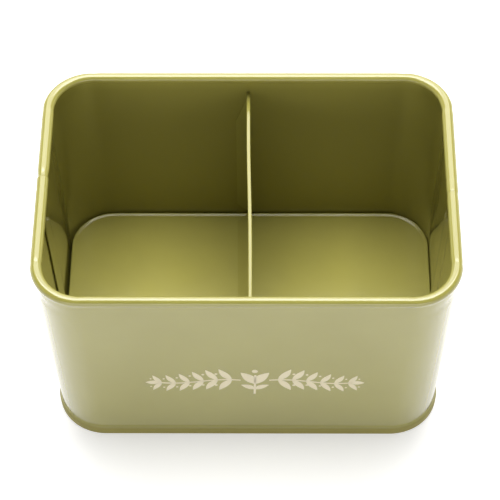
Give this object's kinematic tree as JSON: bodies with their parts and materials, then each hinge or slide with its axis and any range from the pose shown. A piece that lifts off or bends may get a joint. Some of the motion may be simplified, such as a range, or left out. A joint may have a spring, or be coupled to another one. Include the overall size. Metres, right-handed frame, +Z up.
{
  "type": "seed organizer box",
  "caption": "Open sheet-steel tin with leaning walls, a rolled wired rim, a raised floor and a fixed divider, for seed packets.",
  "frame": {"origin": "middle of the flat ring that the box stands on, at the surface below it", "axes": "+X along the box's long side, -Y out of the long front side, +Z up out of the open mouth"},
  "size_m": [0.2056, 0.1466, 0.1197],
  "materials": {
    "shell_paint": "glossy olive-lime powder coat",
    "pan_paint": "glossy olive-lime powder coat",
    "divider_paint": "glossy olive-lime powder coat",
    "bare_wire": "drawn wire, hidden in the rim"
  },
  "bodies": {
    "root": {"front_shell": "shell_paint", "rear_shell": "shell_paint", "rim_wire": "bare_wire", "base_pan": "pan_paint", "divider": "divider_paint"}
  },
  "joints": []
}
